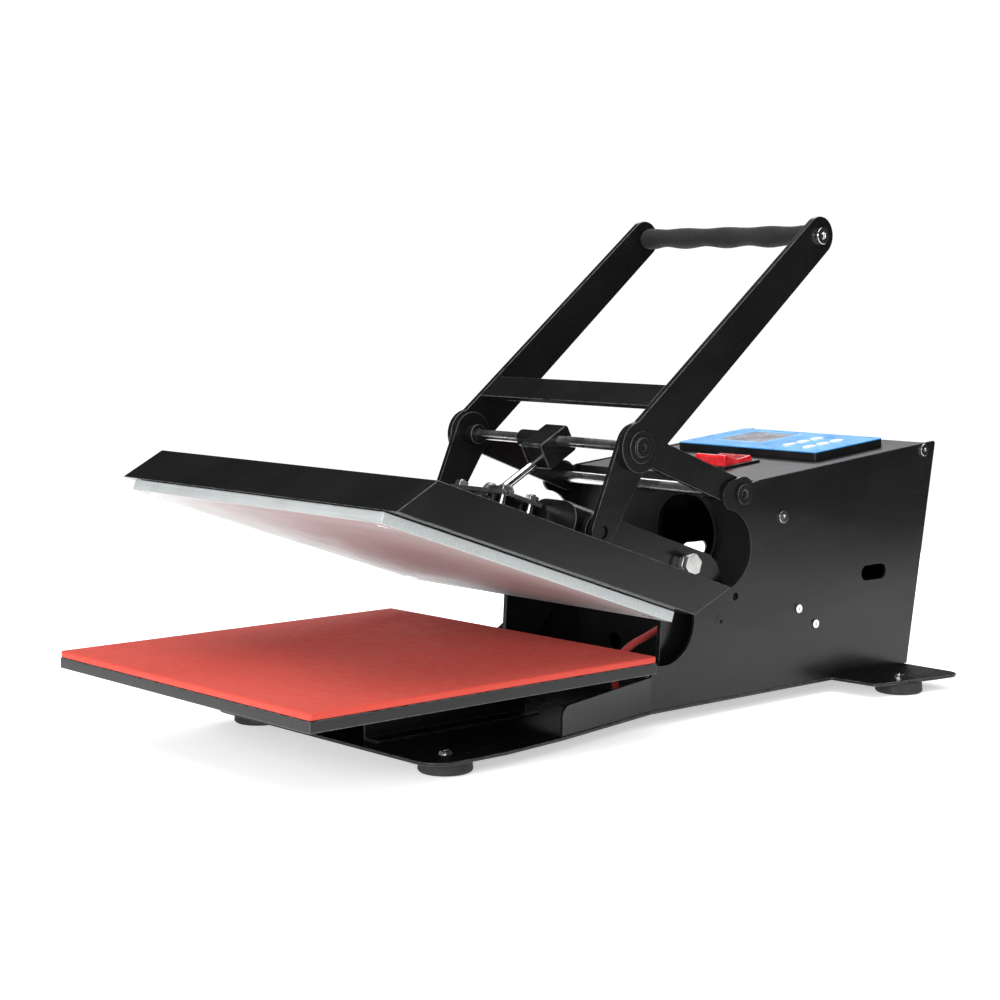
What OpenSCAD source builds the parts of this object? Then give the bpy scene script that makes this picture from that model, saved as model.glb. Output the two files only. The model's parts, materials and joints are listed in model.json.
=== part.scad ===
// Tabletop clamshell heat press, standing open.
// Frame: origin on the table under the middle of the footprint, +Y to the rear, +Z up.
// Side-view points are written as [y, z].

/* [Pressing area] */
// Width of the silicone pad
pad_w = 380; // [340:1:384]
// Depth of the silicone pad
pad_d = 384; // [360:1:384]
// Thickness of the silicone pad
pad_t = 6; // [4:0.5:8]
// Height of the pad's top face above the table
pad_top_z = 82; // [80:0.5:83]
// Height of the folded tray under the pad
tray_h = 10; // [8:0.5:12]
// Width of the heat plate
plate_w = 369; // [340:1:372]
// Depth of the heat plate
plate_d = 352; // [346:1:354]
// Thickness of the heat plate
plate_t = 10; // [8:0.5:10]
// How far the upper platen stands open, in degrees
open_angle = 19; // [17:0.5:19]

/* [Upper platen] */
// Width of the platen cover
cover_w = 406; // [400:1:406]
// Height of the platen cover
cover_h = 35; // [33:0.5:35]
// How far the cover's front face slopes back
cover_front_slope = 33; // [25:1:36]
// How far the cover's rear face slopes back
cover_rear_slope = 39; // [30:1:39]
// Sheet thickness of the folded covers
sheet_t = 1.5; // [1.2:0.1:2]

/* [Housing] */
// Distance between the side plates' outer faces
housing_w = 256; // [254:1:258]
// Thickness of the side plates
side_t = 3; // [2.5:0.5:3]
// Total depth of the press
overall_d = 865; // [860:1:868]
// Height of the rubber feet
foot_h = 12; // [11:0.5:12]
// Radius of the rubber feet
foot_r = 24; // [20:1:26]
// Slope of the deck, in degrees
deck_tilt = 5.1; // [4:0.1:5.2]

/* [Handle] */
// Thickness of the handle arms
arm_t = 6; // [5:0.5:6]
// Thickness of the links
link_t = 5; // [4:0.5:5]
// Radius of the foam grip
foam_r = 11; // [10:0.5:12]
// Radius of the cross shaft between the knuckles
shaft_r = 5; // [4.5:0.1:5]
// Radius of the handle's pivot shaft
pivot_r = 6; // [5:0.1:6]
// Radius of the pressure rod
rod_r = 4.2; // [3.8:0.1:4.2]

/* [Controls] */
// Width of the controller
controller_w = 193; // [180:1:196]
// Depth of the controller
controller_d = 108; // [104:1:110]
// Height of the controller above the deck
controller_h = 9; // [8:0.5:10]
// Tilt of the rocker switch at rest, in degrees
rocker_tilt = 8; // [6:0.5:9]

/* [Hidden] */
$fn = 64;
fit = 0.05;                         // radial clearance of a running fit
base_t = 3;                         // base plate's thickness
base_top = foot_h + base_t;
half_d = overall_d / 2;
side_in = housing_w / 2 - side_t;   // side plate's inner face

// Side-view points
pivot = [132.5, 211];               // the handle turns here, on the side plates
knuckle = [-4, 263];                // bend of the handle arms, with the cross shaft
link_end = [-46, 187];              // lower end of the links, on the platen brackets
grip = [245.5, 460];                // axis of the grip
hinge = [47.5, 37];                 // the upper platen turns here
deck_corner = [153.5, 223];         // front end of the side plates' top edge
ear_nose = [119.5, 210];            // front of the side plates' upper ear
upper_arc = [105.5, 159];           // centre of the side plates' upper cut-out
upper_arc_r = 39;
lower_arc = [25.5, 96];             // centre of the side plates' lower cut-out
lower_arc_r = 40;
fold_y = 7.5;                       // where the side plates' wings bend outward
rear_foot_y = 391.5;                // rear end of the side plates' bottom edge
rear_top = [half_d, deck_corner[1] + (half_d - deck_corner[0]) * tan(deck_tilt)];
rear_lean = atan((half_d - rear_foot_y) / (rear_top[1] - base_top));
bulkhead_y = 155;

// Across the press, from the side plate inward
arm_out = side_in - 0.5;
arm_in = arm_out - arm_t;
link_out = arm_in - 0.5;
link_in = link_out - link_t;
bracket_out = link_in - 1;
bracket_t = 5;
bracket_in = bracket_out - bracket_t;

// The upper platen, drawn closed
closed_gap = 0.4;                   // left between the heat plate and the pad when closed
plate_z = pad_top_z + closed_gap;
plate_rear = -43.5;
plate_front = plate_rear - plate_d;
cover_z = plate_z + 10.7;
cover_top = cover_z + cover_h;
cover_front = plate_front - 2.4;
cover_rear = plate_rear + 6.9;
link_end_closed = to_closed(link_end);
bracket_top = cover_top + 37;
bracket_bolt = [29, 148];
gland_base = [cover_rear + 0.78 * cover_rear_slope, cover_z + 0.78 * cover_h];
gland_aim = atan2(-cover_rear_slope, cover_h);
gland_l = 10;
pin_play = [-6, -5.4];              // drift of the link pin in the bracket at mid travel
rod_pin_play = [-3.5, -6.5];        // drift of the rod's pin in its ears at mid travel

// The pressure rod runs under the cross shaft, s along the rod and t across it
rod_angle = 28;                     // slope of the rod below the horizontal
rod_drop = 10;                      // rod's axis below the cross shaft's axis
rod_reach = 80;                     // from the cross shaft to the rod's pin
rod_top = -17;
rod_pin = rod_point(rod_reach, -rod_drop);
rod_pin_closed = to_closed(rod_pin);

foot_places = [[137, -251], [172, 322]];
key_rows = [[36, 154], [66, 150]];  // first key of each row, on the deck
key_pitch = 22;
rocker_at = [20, 68];               // centre of the rocker, on the deck
controller_at = [0, 124];           // front edge of the controller, on the deck
lcd_at = [-68, 157];                // near left corner of the display, on the deck
lcd_size = [61, 60];

function turn(v, a) = [v[0] * cos(a) - v[1] * sin(a), v[0] * sin(a) + v[1] * cos(a)];
function to_closed(p) = hinge + turn(p - hinge, open_angle);
function to_open(p) = hinge + turn(p - hinge, -open_angle);
function rod_point(s, t) = knuckle + turn([-s, t], rod_angle);
function aim(p, q) = atan2(q[1] - p[1], q[0] - p[0]);
function polar(r, a) = [r * cos(a), r * sin(a)];

// ---- helpers ----

// Stands a side-view outline up as a slab from x to x + t
module slab(x, t) translate([x, 0, 0]) rotate([90, 0, 90]) linear_extrude(t) children();

// A round bar or bore across the press at side-view point p
module across(p, x0, x1, r)
    translate([x0, p[0], p[1]]) rotate([0, 90, 0]) cylinder(h = x1 - x0, r = r);

// A hexagon head across the press, af across its flats
module hex_across(p, x0, x1, af)
    translate([x0, p[0], p[1]]) rotate([0, 90, 0]) cylinder(h = x1 - x0, r = af / sqrt(3), $fn = 6);

// Outline of a bar with round ends of radius rp and rq
module bar2d(p, q, rp, rq) {
    a = aim(p, q);
    b = acos((rp - rq) / norm(q - p));
    n = 28;
    polygon(concat([for (i = [0:n]) p + polar(rp, a + b + (360 - 2 * b) * i / n)],
        [for (i = [0:n]) q + polar(rq, a - b + 2 * b * i / n)]));
}

// The same shape on both sides of the press
module both_sides() {
    children();
    mirror([1, 0, 0]) children();
}

// Tilts what is drawn closed to the open position of the upper platen
module on_platen()
    translate([0, hinge[0], hinge[1]]) rotate([-open_angle, 0, 0]) translate([0, -hinge[0], -hinge[1]])
        children();

// The deck's own frame: x across, y up its slope, z off its top face
module on_deck() translate([0, deck_corner[0], deck_corner[1] - 1]) rotate([deck_tilt, 0, 0]) children();

// A box with its four upright edges rounded
module round_box(x, y, z, r) linear_extrude(z) {
    translate([-x / 2 + r, -y / 2]) square([x - 2 * r, y]);
    translate([-x / 2, -y / 2 + r]) square([x, y - 2 * r]);
    for (sx = [-1, 1], sy = [-1, 1]) translate([sx * (x / 2 - r), sy * (y / 2 - r)]) circle(r);
}

// ---- base ----

module base_half() {
    front = -288;
    ear = [142, -263];
    translate(ear) circle(25);
    translate([186, 372]) circle(16);
    polygon([[0, front], [ear[0], front], [ear[0] + 25, ear[1]], [167, -207], [157, -131], [129, fold_y],
        [129, 268], [181, 272], [199, 351], [202, 372], [186, 388], [0, 388]]);
}

module base_plate() color("#1c1c1e") difference() {
    translate([0, 0, foot_h]) linear_extrude(base_t) {
        base_half();
        mirror([1, 0]) base_half();
    }
    both_sides() for (f = foot_places) translate([f[0], f[1], foot_h - 1])
        cylinder(h = base_t + 2, r = 3.2);
}

module rubber_feet() color("#101010") both_sides() for (f = foot_places) translate([f[0], f[1], 0])
    difference() {
        rotate_extrude() polygon([[0, 0], [foot_r - 2, 0], [foot_r, 2], [foot_r - 1, foot_h], [0, foot_h]]);
        translate([0, 0, -1]) cylinder(h = 6, r = 8);
        cylinder(h = foot_h + 1, r = 3.2);
    }

module foot_screws() color("silver") both_sides() for (f = foot_places) translate([f[0], f[1], 0]) {
    translate([0, 0, base_top]) difference() {
        cylinder(h = 3, r1 = 6.5, r2 = 5);
        translate([0, 0, 1.2]) cylinder(h = 3, r = 2.2, $fn = 6);
    }
    translate([0, 0, 3]) cylinder(h = base_top - 2.9, r = 3);
    translate([0, 0, 2]) cylinder(h = 3, r = 6, $fn = 6);
}

wing_l = 138;                       // the wing's reach in front of its fold
wing_h = 27;
wing_rise = 5;                      // from its front corner up to the fold
wing_angle = 11;
wing_corner = 10;

module side_outline() {
    wing_end = fold_y - wing_l;
    difference() {
        union() {
            polygon([[wing_end + wing_corner, base_top], [fold_y + 1, base_top],
                [fold_y + 1, base_top + wing_h + wing_rise], [wing_end + wing_corner, base_top + wing_h]]);
            translate([wing_end, base_top]) square([wing_l, wing_h - wing_corner]);
            translate([wing_end + wing_corner, base_top + wing_h - wing_corner]) circle(wing_corner);
            polygon([[fold_y, base_top], [rear_foot_y, base_top], rear_top - [0, 2], rear_top - [2, 0.2],
                deck_corner, [deck_corner[0] - 20, deck_corner[1] - 4], [116, 200], [102, 142], [60, 104],
                [17, 62], [fold_y, base_top + wing_h + wing_rise]]);
            bar2d(ear_nose, pivot, 15, 17);
        }
        translate(upper_arc) circle(upper_arc_r);
        translate(lower_arc) circle(lower_arc_r);
    }
}

// The side plate's sheet seen from above, bent outward at the fold
module bent_sheet() {
    fold = [side_in, fold_y];
    end = fold + polar(wing_l / cos(wing_angle) + 2, wing_angle - 90);
    linear_extrude(rear_top[1] + 20) polygon([[side_in, half_d + 10], fold, end,
        end + polar(side_t, wing_angle), [side_in + side_t, fold_y + side_t * tan(wing_angle / 2)],
        [side_in + side_t, half_d + 10]]);
}

// Holes in each side plate: side-view place and radius
side_holes = [[[123.5, 112], 4], [[102.5, 90], 5], [[190.5, 185], 3.2], [[413, 239], 3.2],
    [[215.5, 91], 2.2], [[241.5, 73], 2.2]];
hand_hole = [[322, 117], [346, 117]];

module side_plate() difference() {
    intersection() {
        slab(side_in - 1, 60) side_outline();
        bent_sheet();
    }
    across(pivot, side_in - 1, side_in + side_t + 1, pivot_r + fit);
    for (h = side_holes) across(h[0], side_in - 1, side_in + side_t + 1, h[1]);
    slab(side_in - 1, side_t + 2) bar2d(hand_hole[0], hand_hole[1], 8, 8);
}

module side_plate_right() color("#1a1a1b") side_plate();
module side_plate_left() color("#1a1a1b") mirror([1, 0, 0]) side_plate();

module rear_panel() color("#1a1a1b") {
    w = 2 * side_in - 0.4;
    translate([0, rear_foot_y - 5, base_top]) rotate([-rear_lean, 0, 0]) difference() {
        translate([-w / 2, -2, 0]) cube([w, 2, 224]);
        translate([-16, -3, 29]) cube([32, 4, 42]);
        for (i = [0:6]) translate([-36 + 12 * i, -3, 130]) cube([5, 4, 50]);
    }
}

module deck() color("#222224") on_deck() difference() {
    w = 2 * side_in - 0.4;
    union() {
        translate([-w / 2, 2.2, -2]) cube([w, 268, 2]);
        translate([-w / 2, 2.2, -14]) cube([w, 2, 13]);
    }
    translate([rocker_at[0] - 23, rocker_at[1] - 24, -3]) cube([46, 48, 4]);
    translate([-20, 170, -3]) cube([40, 20, 4]);
}

module front_bulkhead() color("#151516") {
    w = 2 * side_in - 0.4;
    opening = [34, 165];
    opening_r = 39;
    difference() {
        translate([-w / 2, bulkhead_y, base_top]) cube([w, 2, 192]);
        translate([opening[0], bulkhead_y - 1, opening[1]]) rotate([-90, 0, 0])
            cylinder(h = 4, r = opening_r);
        for (x = [-70, 60]) translate([x, bulkhead_y - 1, 40]) rotate([-90, 0, 0])
            cylinder(h = 4, r = 9);
    }
    translate([opening[0], bulkhead_y - 4, opening[1]]) rotate([-90, 0, 0]) difference() {
        cylinder(h = 6, r = opening_r + 3);
        translate([0, 0, -1]) cylinder(h = 8, r = opening_r);
    }
}

module lower_tray() color("#1e1e20") {
    z = pad_top_z - pad_t;
    difference() {
        translate([-pad_w / 2, -half_d, z - tray_h]) cube([pad_w, pad_d, tray_h]);
        translate([-pad_w / 2 + sheet_t, -half_d + sheet_t, z - tray_h - 1])
            cube([pad_w - 2 * sheet_t, pad_d - 2 * sheet_t, tray_h + 1 - sheet_t]);
    }
}

module silicone_pad() color("#c8503f")
    translate([-pad_w / 2, -half_d, pad_top_z - pad_t]) cube([pad_w, pad_d, pad_t]);

module tray_support() color("#18181a") {
    z = pad_top_z - pad_t - sheet_t;
    y0 = -270;
    l = 190;
    w = 100;
    t = 2;
    difference() {
        translate([-w / 2, y0, base_top]) cube([w, l, z - base_top]);
        translate([-w / 2 + t, y0 - 1, base_top - 1]) cube([w - 2 * t, l + 2, z - base_top + 1 - t]);
    }
    for (s = [-1, 1]) translate([s * (w / 2 + 9) - 10, y0, base_top]) cube([20, l, t]);
}

// ---- housing fittings ----

module panel_screws() color("silver") both_sides() for (i = [2:5]) {
    p = side_holes[i][0];
    r = side_holes[i][1];
    difference() {
        union() {
            across(p, side_in - 6, side_in + side_t, r - fit);
            across(p, side_in + side_t, side_in + side_t + 2, 2 * r);
        }
        hex_across(p, side_in + side_t + 0.8, side_in + side_t + 3, r);
    }
}

module pivot_bolts() color("#3a3a3c") both_sides() difference() {
    across(pivot, side_in + side_t, side_in + side_t + 2.6, 10);
    hex_across(pivot, side_in + side_t + 0.8, side_in + side_t + 4, 8);
}

module pivot_shaft() color("silver") across(pivot, -side_in - side_t, side_in + side_t, pivot_r);

module hinge_shaft() color("silver") across(hinge, -side_in + 1, side_in - 1, pivot_r);

module hinge_lugs() color("#18181a") both_sides() difference() {
    slab(bracket_out + 1.5, side_in - 1 - bracket_out - 1.5) {
        translate(hinge) circle(15);
        translate([hinge[0] - 18, base_top]) square([36, 14]);
        translate([hinge[0] - 15, base_top]) square([30, hinge[1] - base_top]);
    }
    across(hinge, bracket_out, side_in, pivot_r + fit);
}

module hole_plugs() color("#242426") both_sides() difference() {
    union() {
        across(side_holes[1][0], side_in - 2, side_in + side_t, side_holes[1][1] - fit);
        across(side_holes[1][0], side_in + side_t, side_in + side_t + 0.4, side_holes[1][1] + 1.5);
    }
    across(side_holes[1][0], side_in + side_t - 1, side_in + side_t + 2, 2);
}

module power_inlet() color("#141414")
    translate([0, rear_foot_y - 5, base_top]) rotate([-rear_lean, 0, 0]) translate([0, 0, 50]) {
        difference() {
            union() {
                translate([-19, 0, -25]) cube([38, 3, 50]);
                translate([-15.5, -26, -20.5]) cube([31, 26.1, 41]);
            }
            translate([-12, -16, -2]) cube([24, 20, 17]);
            translate([-11, 1.5, -17]) cube([22, 5, 10]);
        }
        for (p = [[-7, 4], [7, 4], [0, 10]]) translate([p[0] - 1, -17, p[1] - 2]) cube([2, 14, 4]);
    }

module circuit_board() color("#1f5f3a") on_deck() translate([-60, 128, -20]) {
    cube([110, 74, 1.6]);
    translate([10, 10, 1.6]) cube([28, 20, 12]);
    translate([60, 12, 1.6]) cube([20, 16, 10]);
    for (i = [0:3]) translate([14 + 14 * i, 58, 1.6]) cylinder(h = 11, r = 4);
}

module power_relay() color("#d8d8d4") translate([-60, 240, base_top]) {
    cube([45, 60, 4]);
    translate([0, 3, 4]) cube([45, 54, 22]);
    for (x = [11, 34], y = [10, 50]) translate([x, y, 26]) cylinder(h = 3, r = 4);
}

// The heater cable: from the platen's gland, back in a slack loop and down to the base
cable_x = 85;
cable_r = 3.5;
cable_points = [to_open(gland_base + polar(gland_l + 0.4, gland_aim)),
    to_open(gland_base + polar(gland_l + 4.4, gland_aim)), [40, 114], [56, 115], [74, 118], [89, 115.5],
    [99, 108], [99, 98], [86, 90], [68, 84], [46, 77], [26, 71], [10, 62], [3, 50], [3, 38], [4, 28],
    [4, base_top]];
cable_sides = 10;
cable_step = 3;

// A smooth curve through the cable's points
function spline(p, i, u) = let (
        a = p[max(i - 1, 0)], b = p[i], c = p[i + 1], d = p[min(i + 2, len(p) - 1)])
    0.5 * (2 * b + (c - a) * u + (2 * a - 5 * b + 4 * c - d) * u * u
        + (3 * b - a - 3 * c + d) * u * u * u);
cable_path = [for (i = [0:len(cable_points) - 2], k = [0:cable_step - 1])
    spline(cable_points, i, k / cable_step), cable_points[len(cable_points) - 1]];
function path_aim(i) = i == 0 ? gland_aim - open_angle
    : i == len(cable_path) - 1 ? -90
    : aim(cable_path[i - 1], cable_path[i + 1]);

module heater_cable() color("#b5281e") {
    rings = len(cable_path);
    n = cable_sides;
    points = [for (i = [0:rings - 1], k = [0:n - 1])
        let (a = path_aim(i) + 90, q = 360 * k / n,
            c = cable_path[i] + polar(cable_r * cos(q), a))
        [cable_x + cable_r * sin(q), c[0], c[1]]];
    walls = [for (i = [0:rings - 2], k = [0:n - 1])
        [i * n + k, i * n + (k + 1) % n, (i + 1) * n + (k + 1) % n, (i + 1) * n + k]];
    start = [for (k = [0:n - 1]) n - 1 - k];
    finish = [for (k = [0:n - 1]) (rings - 1) * n + k];
    polyhedron(points, concat([start, finish], walls), convexity = 6);
}

// ---- controls ----

module controller_housing() color("#131313")
    on_deck() translate([controller_at[0], controller_at[1] + controller_d / 2, 0]) difference() {
        round_box(controller_w, controller_d, controller_h - 1.2, 3);
        translate([0, 0, 2]) round_box(controller_w - 5, controller_d - 5, controller_h, 2);
        translate([-20, -8, -1]) cube([40, 20, 4]);
    }

module key_outline(grow) {
    translate([0, -3.5]) circle(5 + grow);
    translate([0, 3.5]) circle(5 + grow);
    translate([-5 - grow, -3.5]) square([10 + 2 * grow, 7]);
}

function key_place(i) = let (row = key_rows[floor(i / 3)]) [row[0], row[1] + key_pitch * (i % 3)];

module controller_faceplate() color("#5bb4ea") on_deck() difference() {
    translate([controller_at[0], controller_at[1] + controller_d / 2, controller_h - 1.2])
        round_box(controller_w, controller_d, 1.2, 3);
    for (i = [0:5]) translate([key_place(i)[0], key_place(i)[1], 0]) linear_extrude(20) key_outline(0.3);
    translate([lcd_at[0], lcd_at[1], 0]) cube([lcd_size[0], lcd_size[1], 20]);
}

module lcd_window() color("#9a9aa2") on_deck() translate([lcd_at[0] + 0.2, lcd_at[1] + 0.2, 2])
    cube([lcd_size[0] - 0.4, lcd_size[1] - 0.4, controller_h - 2.3]);

module key(i) color("#e8eef2") on_deck() translate([key_place(i)[0], key_place(i)[1], controller_h - 4])
    linear_extrude(5) key_outline(0);

module switch_bezel() color("#111111") on_deck() translate([rocker_at[0], rocker_at[1], 0]) difference() {
    union() {
        round_box(54, 56, 2.6, 3);
        translate([0, 0, -9]) round_box(45.4, 47.4, 10, 1);
    }
    translate([-21.4, -22.4, -10]) cube([42.8, 44.8, 14]);
}

module rocker() color("#d8262e") on_deck()
    translate([rocker_at[0], rocker_at[1], 2]) rotate([-rocker_tilt, 0, 0]) {
        slab(-20.8, 41.6)
            polygon([[-21, -3], [-21, 6], [-19, 8.5], [0, 4.5], [19, 8.5], [21, 6], [21, -3], [0, -7]]);
        across([0, 0], -21.2, 21.2, 2);
    }

// ---- handle ----

module arm() color("#1b1b1c") difference() {
    slab(arm_in, arm_t) {
        bar2d(pivot, knuckle, 14, 14);
        bar2d(knuckle, grip, 21, 19);
        translate(knuckle) circle(24);
    }
    across(pivot, arm_in - 1, arm_out + 1, pivot_r + fit);
    across(knuckle, arm_in - 1, arm_out + 1, shaft_r + fit);
    across(grip, arm_in - 1, arm_out + 1, shaft_r + fit);
}

module handle_arm_right() arm();
module handle_arm_left() mirror([1, 0, 0]) arm();

module crossbar() color("#1b1b1c") {
    a = aim(knuckle, grip);
    translate([-arm_in, knuckle[0], knuckle[1]]) rotate([a, 0, 0]) translate([0, 35, 15.5])
        cube([2 * arm_in, 30, 5]);
}

module grip_tube() color("#2a2a2c") difference() {
    across(grip, -arm_in, arm_in, 7.5);
    across(grip, -arm_in - 1, arm_in + 1, shaft_r);
}

module foam_grip() color("#161616") difference() {
    across(grip, -arm_in + 2, arm_in - 2, foam_r);
    across(grip, -arm_in - 1, arm_in + 1, 7.5);
}

module grip_bolts() color("silver") both_sides() difference() {
    union() {
        across(grip, arm_in - 14, arm_out, shaft_r - fit);
        across(grip, arm_out, arm_out + 4, 8.5);
    }
    hex_across(grip, arm_out + 1.5, arm_out + 5, 6);
}

module knuckle_bolts() color("#2a2a2c") both_sides() difference() {
    union() {
        across(knuckle, arm_in, arm_out, shaft_r - fit);
        across(knuckle, arm_out, arm_out + 1.2, 15);
        across(knuckle, arm_out + 1.2, arm_out + 3.6, 9);
    }
    hex_across(knuckle, arm_out + 1.8, arm_out + 6, 6);
}

module cross_shaft() color("silver") across(knuckle, -arm_in, arm_in, shaft_r);

module shaft_collars() color("#202022") both_sides() difference() {
    across(knuckle, link_in - 9, link_in - 0.5, 10);
    across(knuckle, link_in - 10, link_in, shaft_r + fit);
}

// ---- links ----

module link() color("#1c1c1d") difference() {
    slab(link_in, link_t) bar2d(knuckle, link_end, 22, 14.2);
    across(knuckle, link_in - 1, link_out + 1, shaft_r + fit);
    across(link_end, link_out - 2, link_out + 1, 6);
}

module link_right() link();
module link_left() mirror([1, 0, 0]) link();

module link_pins() color("#303032") both_sides() across(link_end, bracket_in - 3, link_in, 5);

// ---- pressure rod ----

module at_rod() translate([0, knuckle[0], knuckle[1]]) rotate([rod_angle, 0, 0]) children();

module hub_block() color("#1d1d1f") difference() {
    union() {
        at_rod() slab(-14.5, 29)
            polygon([[-24, -17], [-24, 7], [-22, 9], [14, 9], [16, 7], [16, -17], [14, -19], [-22, -19]]);
        across(knuckle, -38, -14, 8.5);
    }
    across(knuckle, -40, 20, shaft_r + fit);
    at_rod() translate([0, -30, -rod_drop]) rotate([-90, 0, 0]) cylinder(h = 80, r = rod_r + fit);
}

module pressure_rod() color("silver") {
    at_rod() translate([0, -rod_reach, -rod_drop]) rotate([-90, 0, 0])
        cylinder(h = rod_reach - rod_top, r = rod_r);
    across(rod_pin, -8, 8, 6.5);
    across(rod_pin, -13.5, 13.5, 3.5);
}

// ---- upper platen, drawn closed and tilted open ----

screw_places = [for (x = [-1, 1], y = [plate_front + 16, plate_rear - 16]) [x * (plate_w / 2 - 16), y]];

module heat_plate() color("#c9c9cb") on_platen() difference() {
    translate([-plate_w / 2, plate_front, plate_z]) cube([plate_w, plate_d, plate_t]);
    for (p = screw_places) translate([p[0], p[1], plate_z]) {
        translate([0, 0, -1]) cylinder(h = plate_t + 2, r = 3);
        translate([0, 0, -0.01]) cylinder(h = 3.01, r1 = 6.2, r2 = 3);
    }
}

module heat_plate_screws() color("silver") on_platen() for (p = screw_places)
    translate([p[0], p[1], plate_z]) difference() {
        union() {
            translate([0, 0, 0.1]) cylinder(h = 2.9, r1 = 6, r2 = 2.9);
            translate([0, 0, 2.9]) cylinder(h = plate_t + 1.5, r = 2.9);
        }
        translate([0, 0, -0.9]) cylinder(h = 2.5, r = 2.2, $fn = 6);
    }

module heating_element() color("#8a8a8c") on_platen() {
    r = 3;
    runs = 6;
    pitch = 50;
    reach = 120;
    y0 = (plate_front + plate_rear) / 2 - pitch * (runs - 1) / 2;
    z = plate_z + plate_t + r;
    for (i = [0:runs - 1]) translate([-reach, y0 + pitch * i, z]) rotate([0, 90, 0])
        cylinder(h = 2 * reach, r = r);
    for (i = [0:runs - 2]) {
        s = i % 2 == 0 ? 1 : -1;
        translate([s * reach, y0 + pitch * (i + 0.5), z]) rotate([0, 0, s * 90 - 180])
            rotate_extrude(angle = 180) translate([pitch / 2, 0]) circle(r, $fn = 24);
    }
}

module insulation_board() color("#d9d4c6") on_platen()
    translate([-165, plate_front + 24, plate_z + plate_t + 6.5]) cube([330, plate_d - 48, 8]);

module thermostat() color("#c8c8c8") on_platen() translate([-60, -120, plate_z + plate_t + 14.6]) {
    cylinder(h = 7, r = 9);
    for (s = [-1, 1]) translate([s * 5 - 1, -3, 7]) cube([2, 6, 6]);
}

function cover_side(inset) = let (
        f = cover_front_slope / cover_h, r = cover_rear_slope / cover_h,
        fi = inset * sqrt(1 + f * f), ri = inset * sqrt(1 + r * r))
    [[cover_front + fi, cover_z], [cover_front + fi + f * (cover_h - inset), cover_top - inset],
     [cover_rear - ri + r * (cover_h - inset), cover_top - inset], [cover_rear - ri, cover_z]];

module platen_cover() color("#1c1c1e") on_platen() {
    lip = 22;
    difference() {
        slab(-cover_w / 2, cover_w) polygon(cover_side(0));
        translate([0, 0, -0.01]) slab(-cover_w / 2 + sheet_t, cover_w - 2 * sheet_t)
            polygon(cover_side(sheet_t));
    }
    difference() {
        slab(-cover_w / 2, cover_w) intersection() {
            polygon(cover_side(0));
            translate([cover_front - 1, cover_z]) square([plate_d + 80, sheet_t]);
        }
        translate([-cover_w / 2 + lip, cover_front + lip, cover_z - 1])
            cube([cover_w - 2 * lip, cover_rear - cover_front - 2 * lip - 8, 4]);
        for (p = screw_places) translate([p[0], p[1], cover_z - 1]) cylinder(h = 4, r = 3.1);
    }
}

module bracket() color("#1b1b1c") on_platen() {
    c = link_end_closed;
    difference() {
        slab(bracket_in, bracket_t) {
            translate(c) circle(17);
            translate(hinge) circle(16);
            polygon([[c[0], bracket_top], [63, bracket_top], [75, bracket_top - 5.5], [89, bracket_top - 19],
                [85, 92], [hinge[0] + 15.7, hinge[1] + 3], [hinge[0] - 15.7, hinge[1] + 3], [14, 104],
                [8, cover_top], [c[0] - 8, cover_top], [c[0] - 16.5, c[1] - 4]]);
        }
        across(hinge, bracket_in - 1, bracket_out + 1, pivot_r + fit);
        slab(bracket_in - 1, bracket_t + 2) bar2d(c, c + pin_play, 5.8, 5.8);
        across(bracket_bolt, bracket_in - 1, bracket_out + 1, 5 + fit);
    }
    translate([bracket_in - 13, -60, cover_top]) cube([13.1, 58, 3]);
}

module bracket_right() bracket();
module bracket_left() mirror([1, 0, 0]) bracket();

module bracket_bolts() color("silver") on_platen() both_sides() {
    across(bracket_bolt, bracket_in - 4, bracket_out + 9, 5);
    hex_across(bracket_bolt, bracket_out, bracket_out + 7, 16);
    hex_across(bracket_bolt, bracket_out + 9, bracket_out + 15, 19);
}

bridge_y = [-150, -98];

module pressure_bridge() color("#232325") on_platen() {
    w = 52;
    l = bridge_y[1] - bridge_y[0];
    h = bracket_top - 2.5 - cover_top;
    difference() {
        translate([-w / 2, bridge_y[0], cover_top]) cube([w, l, h]);
        translate([-w / 2 + 3, bridge_y[0] - 1, cover_top + 3]) cube([w - 6, l + 2, h]);
    }
    for (s = [-1, 1]) translate([s * (w / 2 + 6) - 7, bridge_y[0], cover_top]) cube([14, l, 3]);
}

module pressure_plate() color("silver") on_platen() {
    z = bracket_top - 2.5;
    difference() {
        union() {
            translate([-38, bridge_y[0], z]) cube([76, bridge_y[1] - bridge_y[0], 4]);
            for (s = [-1, 1]) slab(s * 11.5 - 2, 4) {
                bar2d(rod_pin_closed, rod_pin_closed + rod_pin_play, 8.5, 8.5);
                translate([rod_pin_closed[0] - 11, z + 1]) square([19, 5]);
            }
        }
        translate([-9.5, bridge_y[0] + 6, z - 20]) cube([19, bridge_y[1] - bridge_y[0], 40]);
        slab(-14, 28) bar2d(rod_pin_closed, rod_pin_closed + rod_pin_play, 4.1, 4.1);
        for (x = [-31, 31], y = [bridge_y[0] + 8, bridge_y[1] - 8])
            translate([x, y, z - 1]) cylinder(h = 6, r = 3.1);
    }
}

module plate_nuts() color("silver") on_platen()
    for (x = [-31, 31], y = [bridge_y[0] + 8, bridge_y[1] - 8]) translate([x, y, 0]) {
        translate([0, 0, bracket_top + 1.5]) cylinder(h = 5, r = 6.4, $fn = 6);
        translate([0, 0, cover_top + 3]) cylinder(h = bracket_top - cover_top + 5, r = 3);
    }

module terminal_cover() color("#1a1a1b") on_platen() translate([18, -95, cover_top]) difference() {
    h = 45;
    w = 67;
    r = 21;
    l = 48;
    round_top(w, l, h, r);
    translate([sheet_t, sheet_t, -0.01]) round_top(w - 2 * sheet_t, l - 2 * sheet_t, h - sheet_t, r - sheet_t);
}

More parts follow.
